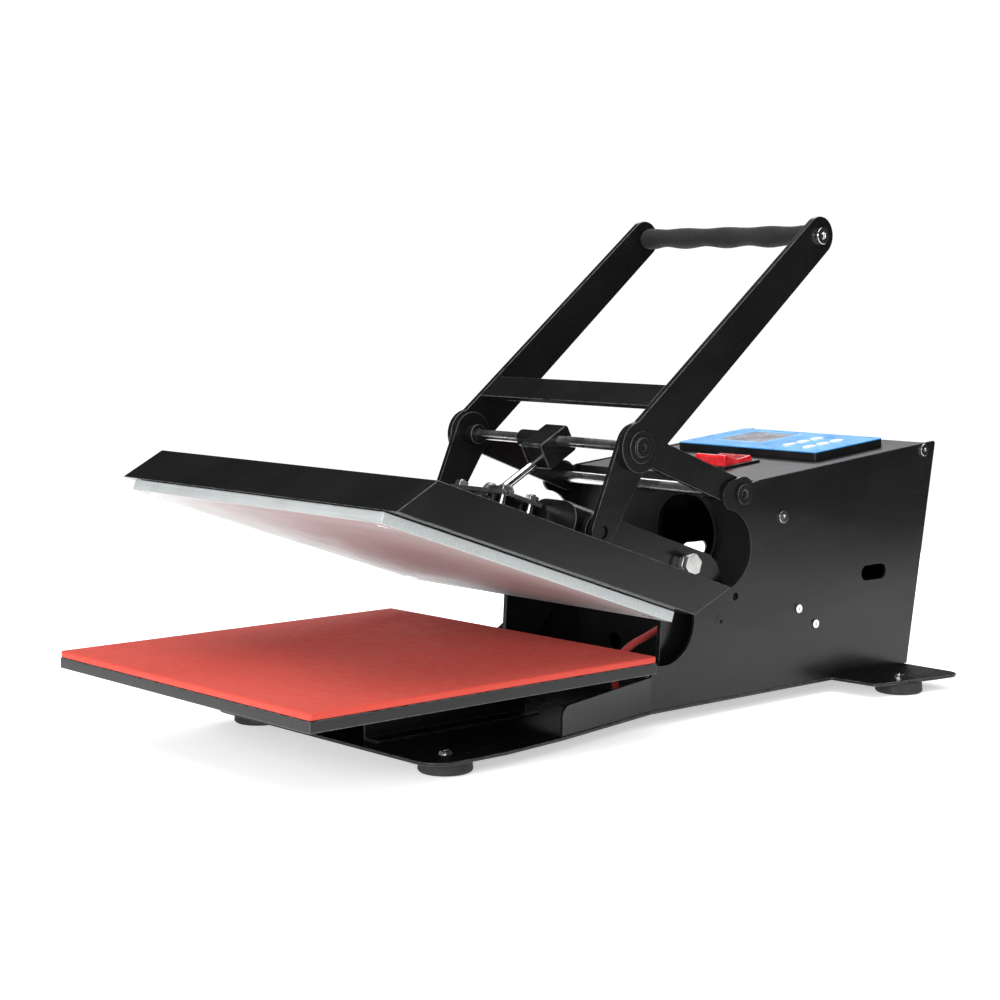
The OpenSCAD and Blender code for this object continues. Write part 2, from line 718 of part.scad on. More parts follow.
// A box rounded along its two long top edges
module round_top(w, l, h, r) translate([0, l, 0]) rotate([90, 0, 0]) linear_extrude(l) {
    square([w, h - r]);
    translate([r, 0]) square([w - 2 * r, h]);
    for (x = [r, w - r]) translate([x, h - r]) circle(r);
}

module cable_gland() color("#121212") on_platen() translate([cable_x, gland_base[0], gland_base[1]])
    rotate([gland_aim, 0, 0]) rotate([-90, 0, 0]) {
        cylinder(h = 4, r = 8, $fn = 6);
        cylinder(h = gland_l, r1 = 7, r2 = 5);
    }

base_plate();
side_plate_right();
side_plate_left();
rear_panel();
deck();
front_bulkhead();
lower_tray();
silicone_pad();
tray_support();
rubber_feet();
foot_screws();
panel_screws();
pivot_bolts();
pivot_shaft();
hinge_shaft();
hinge_lugs();
controller_housing();
controller_faceplate();
lcd_window();
switch_bezel();
circuit_board();
power_relay();
power_inlet();
hole_plugs();
heater_cable();
rocker();
key(0);  // key_1
key(1);  // key_2
key(2);  // key_3
key(3);  // key_4
key(4);  // key_5
key(5);  // key_6
handle_arm_right();
handle_arm_left();
crossbar();
grip_tube();
foam_grip();
grip_bolts();
knuckle_bolts();
cross_shaft();
shaft_collars();
link_right();
link_left();
link_pins();
hub_block();
pressure_rod();
heat_plate();
heating_element();
insulation_board();
platen_cover();
bracket_right();
bracket_left();
bracket_bolts();
heat_plate_screws();
pressure_bridge();
pressure_plate();
plate_nuts();
terminal_cover();
thermostat();
cable_gland();
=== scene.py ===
# A tabletop clamshell heat press, standing open on a pale floor.
# Metres, in the part's frame: +Y to the rear, +Z up, origin on the table.
import json
import math

import bmesh
import bpy
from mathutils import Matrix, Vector, noise

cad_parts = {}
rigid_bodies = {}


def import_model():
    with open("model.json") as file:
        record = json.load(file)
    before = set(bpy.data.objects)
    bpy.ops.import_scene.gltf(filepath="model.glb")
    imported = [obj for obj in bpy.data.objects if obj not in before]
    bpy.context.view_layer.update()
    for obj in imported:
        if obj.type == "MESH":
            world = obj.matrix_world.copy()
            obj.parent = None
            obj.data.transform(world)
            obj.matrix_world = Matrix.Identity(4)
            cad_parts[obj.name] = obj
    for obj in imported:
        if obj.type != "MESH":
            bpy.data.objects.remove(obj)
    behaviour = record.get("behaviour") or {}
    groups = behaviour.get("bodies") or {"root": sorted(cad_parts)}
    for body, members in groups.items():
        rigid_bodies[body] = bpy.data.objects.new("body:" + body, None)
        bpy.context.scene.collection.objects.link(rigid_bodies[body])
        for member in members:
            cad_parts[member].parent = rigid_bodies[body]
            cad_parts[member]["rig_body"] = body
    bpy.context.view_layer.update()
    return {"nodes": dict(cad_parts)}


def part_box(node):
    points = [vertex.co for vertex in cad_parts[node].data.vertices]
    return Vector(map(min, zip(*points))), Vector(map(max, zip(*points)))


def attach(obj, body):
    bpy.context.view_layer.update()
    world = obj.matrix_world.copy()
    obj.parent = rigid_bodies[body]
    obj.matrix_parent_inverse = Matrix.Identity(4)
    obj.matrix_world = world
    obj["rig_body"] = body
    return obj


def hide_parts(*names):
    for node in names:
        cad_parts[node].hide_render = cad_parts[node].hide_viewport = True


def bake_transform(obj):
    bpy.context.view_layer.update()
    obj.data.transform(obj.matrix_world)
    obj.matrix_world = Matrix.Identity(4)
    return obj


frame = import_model()
nodes = frame["nodes"]
MM = 0.001

# ---- camera, light and floor ----

CAMERA_PLACE = (1.5015, -1.3951, 0.4162)
CAMERA_TURN = 48.52             # degrees, to the left of +Y
CAMERA_DOWN = 5.90              # degrees, below the horizon
CAMERA_LENS = 76.54             # mm, with a sensor SENSOR_WIDTH wide
SENSOR_WIDTH = 36
NEAREST, FURTHEST = 0.05, 60    # what the camera sees lies between them

# Each area light: name, place, the point it faces, width and height, watts
LIGHTS = (
    ("key", (0.1, -0.5, 3.4), (0, -0.05, 0), (3.8, 3.8), 125),
    ("back", (-1.6, 2.2, 1.9), (0, 0.1, 0.15), (1.8, 1.2), 30),
    ("front", (2.6, -2.6, 1.9), (0, -0.1, 0.1), (1.6, 1.2), 14),
    ("low_front", (0.9, -2.7, 0.8), (0, -0.25, 0.1), (2.4, 1.3), 75),
)

BACKDROP = 1.05                 # strength of the white that the camera sees round the press
MIRRORED = 0.035                # strength of the dim room that shiny faces mirror
DIFFUSE_FILL = 0.6              # what the room adds on matt faces
ROOM_TINT = (0.92, 0.95, 1.0, 1)

FLOOR_RADIUS = 1.35
FLOOR_SIDES = 128
FLOOR_GAP = 0.3 * MM            # the floor lies this far under the feet, so that no faces coincide


def new_object(name, data):
    made = bpy.data.objects.new(name, data)
    bpy.context.scene.collection.objects.link(made)
    return made


def make_camera():
    data = bpy.data.cameras.new("camera")
    data.sensor_width = SENSOR_WIDTH
    data.lens = CAMERA_LENS
    data.clip_start = NEAREST
    data.clip_end = FURTHEST
    camera = new_object("camera", data)
    camera.location = CAMERA_PLACE
    camera.rotation_euler = (math.radians(90 - CAMERA_DOWN), 0, math.radians(CAMERA_TURN))
    bpy.context.scene.camera = camera
    bpy.context.scene.view_settings.view_transform = "Standard"


def make_lights():
    for name, place, target, size, power in LIGHTS:
        data = bpy.data.lights.new(name, "AREA")
        data.shape = "RECTANGLE"
        data.size, data.size_y = size
        data.energy = power
        light = new_object(name, data)
        light.location = place
        facing = Vector(target) - Vector(place)
        light.rotation_euler = facing.to_track_quat("-Z", "Y").to_euler()


def make_world():
    """The camera sees white, matt faces get a soft fill, and shiny faces mirror a dim room."""
    world = bpy.data.worlds.new("studio")
    bpy.context.scene.world = world
    world.use_nodes = True
    tree = world.node_tree
    tree.nodes.clear()
    out = tree.nodes.new("ShaderNodeOutputWorld")
    mix = tree.nodes.new("ShaderNodeMixShader")
    path = tree.nodes.new("ShaderNodeLightPath")
    room = tree.nodes.new("ShaderNodeBackground")
    white = tree.nodes.new("ShaderNodeBackground")
    fill = tree.nodes.new("ShaderNodeMath")
    fill.operation = "MULTIPLY_ADD"
    fill.inputs[1].default_value = DIFFUSE_FILL
    fill.inputs[2].default_value = MIRRORED
    room.inputs["Color"].default_value = ROOM_TINT
    white.inputs["Color"].default_value = (1, 1, 1, 1)
    white.inputs["Strength"].default_value = BACKDROP
    tree.links.new(path.outputs["Is Diffuse Ray"], fill.inputs[0])
    tree.links.new(fill.outputs[0], room.inputs["Strength"])
    tree.links.new(path.outputs["Is Camera Ray"], mix.inputs[0])
    tree.links.new(room.outputs[0], mix.inputs[1])
    tree.links.new(white.outputs[0], mix.inputs[2])
    tree.links.new(mix.outputs[0], out.inputs["Surface"])


def make_floor():
    """A pale disc that glows a little, so that it renders as white as the backdrop."""
    bm = bmesh.new()
    bmesh.ops.create_circle(bm, cap_ends=True, segments=FLOOR_SIDES, radius=FLOOR_RADIUS)
    mesh = bpy.data.meshes.new("floor")
    bm.to_mesh(mesh)
    bm.free()
    floor = new_object("floor", mesh)
    floor.location = (0, 0, -FLOOR_GAP)
    pale = Surface("floor_pale", Base_Color=(0.93, 0.93, 0.93, 1), Roughness=0.75, Specular_IOR_Level=0.2,
                   Emission_Color=(1, 1, 1, 1), Emission_Strength=0.5)
    mesh.materials.append(pale.material)


# ---- materials ----

MIDDLE = (0.3, 0.7)             # the stretch of a noise's values that holds most of them
MIX_FACTOR, MIX_A, MIX_B = 0, 6, 7      # the Mix node's inputs for a colour
MIX_RESULT = 2                          # and its output


class Surface:
    """A Principled material with small helpers for its procedural nodes."""

    def __init__(self, name, **constants):
        self.material = bpy.data.materials.new(name)
        self.material.use_nodes = True
        self.tree = self.material.node_tree
        self.shader = self.tree.nodes["Principled BSDF"]
        for key, value in constants.items():
            self.shader.inputs[key.replace("_", " ")].default_value = value
        self.place = self.add("ShaderNodeTexCoord").outputs["Object"]
        self.normal = None

    def add(self, kind, **settings):
        node = self.tree.nodes.new(kind)
        for key, value in settings.items():
            setattr(node, key, value)
        return node

    def feed(self, source, target):
        """Gives an input another node's output, a number or a colour."""
        if isinstance(source, bpy.types.NodeSocket):
            self.tree.links.new(source, target)
        elif isinstance(source, tuple):
            target.default_value = (*source, 1)
        else:
            target.default_value = source

    def stretched(self, scale, turn=(0, 0, 0)):
        """Places scaled by a different number along each axis, for a noise with long streaks."""
        node = self.add("ShaderNodeMapping")
        node.inputs["Scale"].default_value = scale
        node.inputs["Rotation"].default_value = turn
        self.feed(self.place, node.inputs["Vector"])
        return node.outputs["Vector"]

    def split(self, source):
        """The X, Y and Z of a place."""
        node = self.add("ShaderNodeSeparateXYZ")
        self.feed(source, node.inputs[0])
        return node.outputs

    def noise(self, scale, detail, rough=0.55, source=None):
        node = self.add("ShaderNodeTexNoise")
        self.feed(scale, node.inputs["Scale"])
        self.feed(detail, node.inputs["Detail"])
        self.feed(rough, node.inputs["Roughness"])
        self.feed(source or self.place, node.inputs["Vector"])
        return node.outputs["Fac"]

    def cells(self, scale, feature="F1"):
        node = self.add("ShaderNodeTexVoronoi", feature=feature)
        self.feed(scale, node.inputs["Scale"])
        self.feed(self.place, node.inputs["Vector"])
        return node.outputs["Distance"]

    def span(self, value, low, high, to_low=0.0, to_high=1.0):
        """Maps the values between low and high smoothly to the ones between to_low and to_high."""
        node = self.add("ShaderNodeMapRange", interpolation_type="SMOOTHSTEP")
        self.feed(value, node.inputs["Value"])
        self.feed(low, node.inputs["From Min"])
        self.feed(high, node.inputs["From Max"])
        self.feed(to_low, node.inputs["To Min"])
        self.feed(to_high, node.inputs["To Max"])
        return node.outputs["Result"]

    def cloud(self, scale, detail, to_low=0.0, to_high=1.0):
        """Noise that drifts between two values."""
        return self.span(self.noise(scale, detail), *MIDDLE, to_low, to_high)

    def math(self, operation, *values):
        node = self.add("ShaderNodeMath", operation=operation)
        for value, socket in zip(values, node.inputs):
            self.feed(value, socket)
        return node.outputs[0]

    def blend(self, factor, a, b):
        node = self.add("ShaderNodeMix", data_type="RGBA")
        self.feed(factor, node.inputs[MIX_FACTOR])
        self.feed(a, node.inputs[MIX_A])
        self.feed(b, node.inputs[MIX_B])
        return node.outputs[MIX_RESULT]

    def spotted(self, body, colour, share, scale, low, high, detail=2, rough=0.55):
        """The body colour with spots of another one, where a noise rises from low to high."""
        spot = self.span(self.noise(scale, detail, rough), low, high)
        return self.blend(self.math("MULTIPLY", spot, share), body, colour)

    def edges(self):
        """One on the broken edges that soften() marks, zero on the flat faces."""
        return self.add("ShaderNodeAttribute", attribute_name="edge").outputs["Fac"]

    def colour(self, source):
        self.feed(source, self.shader.inputs["Base Color"])

    def roughness(self, source):
        self.feed(source, self.shader.inputs["Roughness"])

    def bump(self, height, strength, distance):
        """One more bump, on top of those before it."""
        node = self.add("ShaderNodeBump")
        self.feed(strength, node.inputs["Strength"])
        self.feed(distance, node.inputs["Distance"])
        self.feed(height, node.inputs["Height"])
        if self.normal:
            self.feed(self.normal, node.inputs["Normal"])
        self.normal = node.outputs["Normal"]
        self.feed(self.normal, self.shader.inputs["Normal"])


def powder_coat(name, dark, light, roughness, worn_and_highlit=(0.075, 0.075, 0.078), grain=1.0, shine=0.30):
    """A finely speckled coat, painted paler in places along the broken edges: partly wear, partly a painted
    edge highlight.
    """
    s = Surface(name, Specular_IOR_Level=shine)
    speck = tuple(2.2 * level for level in light)
    body = s.blend(s.span(s.noise(9, 4), 0.35, 0.68), dark, light)
    body = s.spotted(body, speck, share=0.2, scale=2600, low=0.58, high=0.74)
    # Paler colour on the broken edges where a noise allows: partly wear, partly a painted highlight for the
    # light the edges catch.
    wear_and_highlight = s.math("MULTIPLY", s.edges(), s.span(s.noise(120, 3), 0.25, 0.62))
    s.colour(s.blend(s.math("MULTIPLY", wear_and_highlight, 0.9), body, worn_and_highlit))
    smear = s.noise(1, 5, source=s.stretched((14, 5, 22)))
    s.roughness(s.span(smear, *MIDDLE, *roughness))
    s.bump(s.noise(1500, 2), strength=0.05 * grain, distance=0.04 * MM)
    return s.material


def brushed(name, dark, light, roughness, streaks, grain=0.05, dirt=(0.4, 0.38, 0.36), metallic=1.0):
    """Bare metal with fine lines, which run along the axes that have the small numbers in streaks."""
    s = Surface(name, Metallic=metallic)
    line = s.noise(1, 4, 0.6, s.stretched(streaks))
    body = s.blend(s.span(line, *MIDDLE), dark, light)
    s.colour(s.spotted(body, dirt, share=0.25, scale=14, low=0.5, high=0.75, detail=4))
    s.roughness(s.cloud(34, 4, *roughness))
    s.bump(line, strength=grain, distance=0.04 * MM)
    s.bump(s.noise(30, 2), strength=0.02, distance=0.3 * MM)
    return s.material


def rubbery(name, dark, light, roughness, spots, pores, strength, depth, **constants):
    """Rubber or foam. pores is how close its pores lie, strength and depth how they stand out."""
    s = Surface(name, **constants)
    body = s.blend(s.cloud(24, 5), dark, light)
    s.colour(s.spotted(body, spots, share=0.5, scale=1400, low=0.62, high=0.72))
    s.roughness(s.cloud(70, 3, *roughness))
    s.bump(s.noise(0.22 * pores, 3), 0.5 * strength, 2 * depth)
    s.bump(s.cells(pores), strength, depth)
    return s.material


def moulded(name, dark, light, roughness, grain=1500, strength=0.18):
    """Moulded plastic with a fine grain."""
    s = Surface(name)
    s.colour(s.blend(s.cloud(40, 4), dark, light))
    s.roughness(s.cloud(120, 3, *roughness))
    s.bump(s.cells(grain), strength, distance=0.08 * MM)
    s.bump(s.noise(60, 2), strength=0.04, distance=0.5 * MM)
    return s.material


def silicone_red():
    """The pad's skin: mottled, with darker pores."""
    s = Surface("silicone_red", Specular_IOR_Level=0.2, Sheen_Weight=0.02, Sheen_Roughness=0.5)
    body = s.blend(s.span(s.noise(7, 5), 0.3, 0.72), (0.47, 0.046, 0.029), (0.515, 0.053, 0.034))
    body = s.spotted(body, (0.56, 0.075, 0.052), share=0.22, scale=260, low=0.35, high=0.7, detail=4,
                     rough=0.7)
    body = s.spotted(body, (0.36, 0.035, 0.022), share=0.45, scale=1500, low=0.60, high=0.74)
    s.colour(body)
    s.roughness(s.cloud(90, 3, 0.5, 0.66))
    s.bump(s.noise(300, 3), strength=0.12, distance=0.4 * MM)
    s.bump(s.noise(1700, 2), strength=0.35, distance=0.15 * MM)
    return s.material


def overlay_blue():
    """The controller's printed film: a pale frame round the display, finger marks in its gloss."""
    low, high = (Vector(p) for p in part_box("lcd_window"))
    centre, half = (low + high) / 2, (high - low) / 2
    frame_inside, frame_outside, blur = 2.4 * MM, 3.8 * MM, 0.2 * MM
    s = Surface("overlay_blue", Coat_Weight=0.35, Coat_Roughness=0.12)
    place = s.split(s.place)

    def past_display(axis):
        """How far a place lies past the display's side, along one axis."""
        off = s.math("ABSOLUTE", s.math("SUBTRACT", place[axis], centre[axis]))
        return s.math("SUBTRACT", off, half[axis])

    away = s.math("MAXIMUM", past_display(0), past_display(1))
    starts = s.span(away, frame_inside - blur, frame_inside + blur)
    stops = s.span(away, frame_outside - blur, frame_outside + blur, 1, 0)
    line = s.math("MULTIPLY", starts, stops)
    film = s.blend(s.cloud(30, 3), (0.055, 0.36, 0.80), (0.075, 0.42, 0.88))
    s.colour(s.blend(line, film, (0.55, 0.78, 0.95)))
    s.roughness(s.cloud(55, 5, 0.26, 0.42))
    s.bump(s.noise(900, 2), strength=0.05, distance=0.1 * MM)
    s.bump(line, strength=0.2, distance=0.05 * MM)
    return s.material


def lcd_grey():
    s = Surface("lcd_grey", Coat_Weight=0.6, Coat_Roughness=0.08)
    s.colour(s.blend(s.cloud(16, 3), (0.42, 0.425, 0.46), (0.49, 0.495, 0.53)))
    s.roughness(s.cloud(60, 4, 0.2, 0.3))
    s.bump(s.noise(700, 2), strength=0.01, distance=0.02 * MM)
    return s.material


def rocker_red():
    """Clear red plastic with its lamp on."""
    s = Surface("rocker_red", Coat_Weight=0.9, Coat_Roughness=0.1, Subsurface_Weight=0.25,
                Subsurface_Scale=4 * MM, Subsurface_Radius=(1.0, 0.15, 0.1),
                Emission_Color=(0.9, 0.03, 0.04, 1), Emission_Strength=0.12)
    s.colour(s.blend(s.span(s.noise(70, 4), 0.35, 0.7), (0.72, 0.014, 0.02), (0.92, 0.07, 0.07)))
    s.roughness(s.cloud(200, 3, 0.16, 0.28))
    s.bump(s.noise(60, 2), strength=0.02, distance=0.3 * MM)
    s.bump(s.noise(700, 2), strength=0.03, distance=0.05 * MM)
    return s.material


def braid_red():
    """A woven sleeve: strands cross over each other round the cable."""
    strands_round, strands_per_metre = 12.0, 700.0
    s = Surface("braid_red", Specular_IOR_Level=0.4, Sheen_Weight=0.2)
    along, turn = s.split(s.add("ShaderNodeTexCoord").outputs["UV"])[:2]
    heights = []
    for slope in (1, -1):
        winding = s.math("MULTIPLY", turn, slope * strands_round)
        phase = s.math("ADD", s.math("MULTIPLY", along, strands_per_metre), winding)
        heights.append(s.math("ABSOLUTE", s.math("SINE", s.math("MULTIPLY", phase, math.pi))))
    weave = s.math("MAXIMUM", *heights)
    # The braid is painted darker where the weave dips between the strands: painted shade in the gaps of the
    # weave.
    body = s.blend(s.span(weave, 0.55, 1.0), (0.16, 0.006, 0.005), (0.52, 0.03, 0.02))
    s.colour(s.spotted(body, (0.6, 0.2, 0.15), share=0.4, scale=900, low=0.6, high=0.72))
    s.roughness(s.cloud(300, 2, 0.55, 0.75))
    s.bump(weave, strength=0.7, distance=0.4 * MM)
    return s.material


def circuit_green():
    s = Surface("circuit_green", Coat_Weight=0.3, Coat_Roughness=0.2)
    tracks = s.span(s.cells(260, "DISTANCE_TO_EDGE"), 0.02, 0.05, 1, 0)
    board = s.blend(s.cloud(50, 3), (0.008, 0.07, 0.03), (0.012, 0.10, 0.045))
    s.colour(s.blend(s.math("MULTIPLY", tracks, 0.6), board, (0.03, 0.2, 0.09)))
    s.roughness(s.cloud(200, 2, 0.3, 0.5))
    s.bump(tracks, strength=0.2, distance=0.1 * MM)
    return s.material


def mineral_board():
    """Pressed fibre, with the fibres lying askew."""
    s = Surface("mineral_board", Sheen_Weight=0.2)
    fibre = s.noise(1, 5, 0.7, s.stretched((160, 900, 500), turn=(0.2, 0.1, 0.5)))
    s.colour(s.blend(s.span(fibre, *MIDDLE), (0.44, 0.40, 0.31), (0.68, 0.64, 0.54)))
    s.roughness(s.span(fibre, *MIDDLE, 0.8, 0.95))
    s.bump(fibre, strength=0.6, distance=0.6 * MM)
    return s.material


def make_materials():
    """Every look by its name. Those made by one function differ in their two colours and their roughness."""
    return {
        "coat": powder_coat("powder_coat_black", (0.0048, 0.0048, 0.0050), (0.0075, 0.0075, 0.0078),
                            (0.22, 0.31)),
        "coat_deck": powder_coat("powder_coat_deck", (0.007, 0.007, 0.0075), (0.011, 0.011, 0.0115),
                                 (0.30, 0.40), grain=0.8),
        # A darker copy of the black coat for the parts deep inside the press: painted shade where little
        # light reaches.
        "coat_shaded_inner": powder_coat("powder_coat_shaded_inner", (0.003, 0.003, 0.0031), (0.005, 0.005, 0.0052),
                                  (0.40, 0.52), shine=0.28),
        "anodised": powder_coat("anodised_black", (0.012, 0.012, 0.013), (0.020, 0.020, 0.021),
                                (0.26, 0.38), worn_and_highlit=(0.12, 0.12, 0.12), grain=0.5),
        "plate": brushed("plate_aluminium", (0.45, 0.475, 0.47), (0.53, 0.555, 0.55), (0.50, 0.62),
                         streaks=(6, 380, 380), dirt=(0.46, 0.44, 0.42), metallic=0.55),
        "steel": brushed("turned_steel", (0.56, 0.56, 0.55), (0.68, 0.68, 0.67), (0.22, 0.34),
                         streaks=(1600, 30, 30), grain=0.03),
        "chrome": brushed("polished_chrome", (0.70, 0.70, 0.71), (0.84, 0.84, 0.85), (0.07, 0.16),
                          streaks=(70, 70, 70), grain=0.02),
        "zinc": brushed("zinc_plate", (0.60, 0.60, 0.58), (0.74, 0.74, 0.71), (0.22, 0.36),
                        streaks=(140, 140, 140)),
        "oxide": brushed("oxidised_steel", (0.16, 0.14, 0.13), (0.34, 0.31, 0.29), (0.4, 0.6),
                         streaks=(200, 60, 60), grain=0.2),
        "silicone": silicone_red(),
        "rubber": rubbery("rubber_black", (0.010, 0.010, 0.010), (0.020, 0.020, 0.020), (0.62, 0.82),
                          spots=(0.05, 0.05, 0.048), pores=900, strength=0.3, depth=0.2 * MM),
        "foam": rubbery("foam_black", (0.007, 0.007, 0.0075), (0.012, 0.012, 0.013), (0.72, 0.9),
                        spots=(0.028, 0.028, 0.03), pores=1500, strength=0.55, depth=0.3 * MM,
                        Specular_IOR_Level=0.3, Sheen_Weight=0.05, Sheen_Roughness=0.6),
        "plastic": moulded("plastic_black", (0.010, 0.010, 0.010), (0.016, 0.016, 0.017), (0.30, 0.44)),
        "key": moulded("key_white", (0.66, 0.72, 0.76), (0.76, 0.81, 0.84), (0.38, 0.5),
                       grain=1800, strength=0.08),
        "relay": moulded("relay_ivory", (0.52, 0.50, 0.44), (0.64, 0.62, 0.55), (0.4, 0.55)),
        "blue": overlay_blue(),
        "lcd": lcd_grey(),
        "rocker": rocker_red(),
        "braid": braid_red(),
        "board": circuit_green(),
        "mineral": mineral_board(),
    }


# ---- pieces that keep the CAD's shape, with their edges broken ----

FLAT = math.radians(0.4)        # faces that meet at less than this are one flat face
SHARP = math.radians(28)        # edges that turn by more than this are broken
BEVEL_SEGMENTS = 2
BEVEL_WIDTH = 1.4               # a broken square edge's width, in offsets
MERGE = 1e-6                    # corners this close after the bevel are one
ENOUGH = 0.8                    # the share of the edges' bevel that is good enough
# How to get it, from the gentlest to the strongest: a weld distance, and the length in offsets that an
# edge needs to be broken
TRIES = ((2e-6, 0), (2e-6, 2.2), (8e-5, 0), (8e-5, 2.2), (2e-4, 2.2))

CAD_CREASE, SOFT_CREASE, PAD_CREASE = 35, 50, 60    # degrees: a sharper edge isn't shaded smooth
NORMAL_WEIGHT = 80              # how much the big faces' normals count over the small ones'

# Each node's look, and the offset of its broken edges in mm
LOOKS = {
    "base_plate": ("coat", 0.6), "side_plate_right": ("coat", 0.55), "side_plate_left": ("coat", 0.55),
    # The inner coat on the bulkhead, tray support and hinge lugs is a darker copy of the black coat: painted
    # shade.
    "rear_panel": ("coat", 0.3), "deck": ("coat_deck", 0.5), "front_bulkhead": ("coat_shaded_inner", 0.4),
    "lower_tray": ("coat", 0.9), "tray_support": ("coat_shaded_inner", 0.4), "rubber_feet": ("rubber", 0.8),
    "foot_screws": ("chrome", 0.25), "panel_screws": ("chrome", 0.3), "pivot_bolts": ("coat", 0.6),
    "pivot_shaft": ("steel", 0.4), "hinge_shaft": ("steel", 0.4), "hinge_lugs": ("coat_shaded_inner", 0.5),
    "controller_housing": ("plastic", 0.5), "controller_faceplate": ("blue", 0.2),
    "lcd_window": ("lcd", 0.3), "switch_bezel": ("plastic", 0.6), "circuit_board": ("board", 0.2),
    "power_relay": ("relay", 0.6), "power_inlet": ("plastic", 0.6), "hole_plugs": ("coat", 0.15),
    "rocker": ("rocker", 1.0),
    "handle_arm_right": ("coat", 0.7), "handle_arm_left": ("coat", 0.7), "crossbar": ("coat", 0.6),
    "grip_tube": ("anodised", 0.4), "grip_bolts": ("chrome", 0.7), "knuckle_bolts": ("coat", 0.5),
    "cross_shaft": ("steel", 0.4), "shaft_collars": ("coat", 0.7), "link_right": ("coat", 0.6),
    "link_left": ("coat", 0.6), "link_pins": ("anodised", 0.5), "hub_block": ("coat", 1.1),
    "pressure_rod": ("chrome", 0.5), "heat_plate": ("plate", 0.7), "heating_element": ("oxide", 0.0),
    "insulation_board": ("mineral", 0.8), "platen_cover": ("coat", 0.7), "bracket_right": ("coat", 0.6),
    "bracket_left": ("coat", 0.6), "bracket_bolts": ("zinc", 0.7), "heat_plate_screws": ("chrome", 0.25),
    "pressure_bridge": ("coat", 0.5), "pressure_plate": ("zinc", 0.5), "plate_nuts": ("zinc", 0.5),
    "terminal_cover": ("coat", 0.9), "thermostat": ("zinc", 0.4), "cable_gland": ("plastic", 0.5),
}
KEYS = 6
LOOKS.update({"key_%d" % (i + 1): ("key", 0.5) for i in range(KEYS)})


def add_piece(node, bm, material, crease, rides=True):
    """Makes the piece that stands for a CAD node and, if it rides, puts it on its body."""
    name = "piece_" + node
    mesh = bpy.data.meshes.new(name)
    bm.normal_update()
    bm.to_mesh(mesh)
    bm.free()
    mesh.shade_smooth()
    mesh.set_sharp_from_angle(angle=math.radians(crease))
    mesh.materials.append(material)
    piece = new_object(name, mesh)
    weighted = piece.modifiers.new("flat_faces_stay_flat", "WEIGHTED_NORMAL")
    weighted.weight = NORMAL_WEIGHT
    weighted.keep_sharp = True
    if rides:
        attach(piece, nodes[node]["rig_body"])
    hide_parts(node)
    return piece


def cad_shape(node, weld):
    """A CAD node's shape as clean faces: welded, with its flat faces' inner edges dissolved."""
    bm = bmesh.new()
    bm.from_mesh(nodes[node].data)
    for layer in list(bm.loops.layers.uv.values()):
        bm.loops.layers.uv.remove(layer)
    bmesh.ops.remove_doubles(bm, verts=bm.verts, dist=weld)
    bmesh.ops.dissolve_limit(bm, angle_limit=FLAT, verts=bm.verts, edges=bm.edges, delimit={"NORMAL"})
    return bm


def soften(bm, offset, shortest):
    """Breaks the sharp edges that are long enough and marks them. Returns the share that took it."""
    sharp = [e for e in bm.edges if len(e.link_faces) == 2 and e.calc_face_angle(0) > SHARP]
    mark = bm.faces.layers.float.new("edge")
    if not sharp or not offset:
        return 1.0
    wanted = BEVEL_WIDTH * offset * sum(e.calc_length() for e in sharp)
    long_enough = [e for e in sharp if e.calc_length() > shortest]
    made = bmesh.ops.bevel(bm, geom=long_enough, offset=offset, offset_type="OFFSET",
                           segments=BEVEL_SEGMENTS, profile=0.5, affect="EDGES", clamp_overlap=True,
                           loop_slide=True, material=-1)
    for face in made["faces"]:
        face[mark] = 1.0
    bmesh.ops.remove_doubles(bm, verts=bm.verts, dist=MERGE)
    return sum(face.calc_area() for face in bm.faces if face[mark] > 0.5) / wanted


def softened(node, offset):
    """Very short edges hold a bevel back, so they are welded or left sharp until it takes."""
    best, most = None, -1.0
    for weld, needed in TRIES:
        bm = cad_shape(node, weld)
        share = soften(bm, offset, needed * offset)
        if share > most:
            if best:
                best.free()
            best, most = bm, share
        else:
            bm.free()
        if most > ENOUGH:
            break
    return best


# ---- soft pieces ----

def circle(count):
    """Angles that go once round."""
    return [2 * math.pi * k / count for k in range(count)]


def lofted(rings, closed_ends=True):
    """A tube through rings of points, each ring going the same way round."""
    bm = bmesh.new()
    rows = [[bm.verts.new(p) for p in ring] for ring in rings]
    count = len(rows[0])
    for a, b in zip(rows, rows[1:]):
        for k in range(count):
            bm.faces.new((a[k], a[(k + 1) % count], b[(k + 1) % count], b[k]))
    if closed_ends:
        bm.faces.new(rows[0][::-1])
        bm.faces.new(rows[-1])
    bmesh.ops.recalc_face_normals(bm, faces=bm.faces)
    return bm


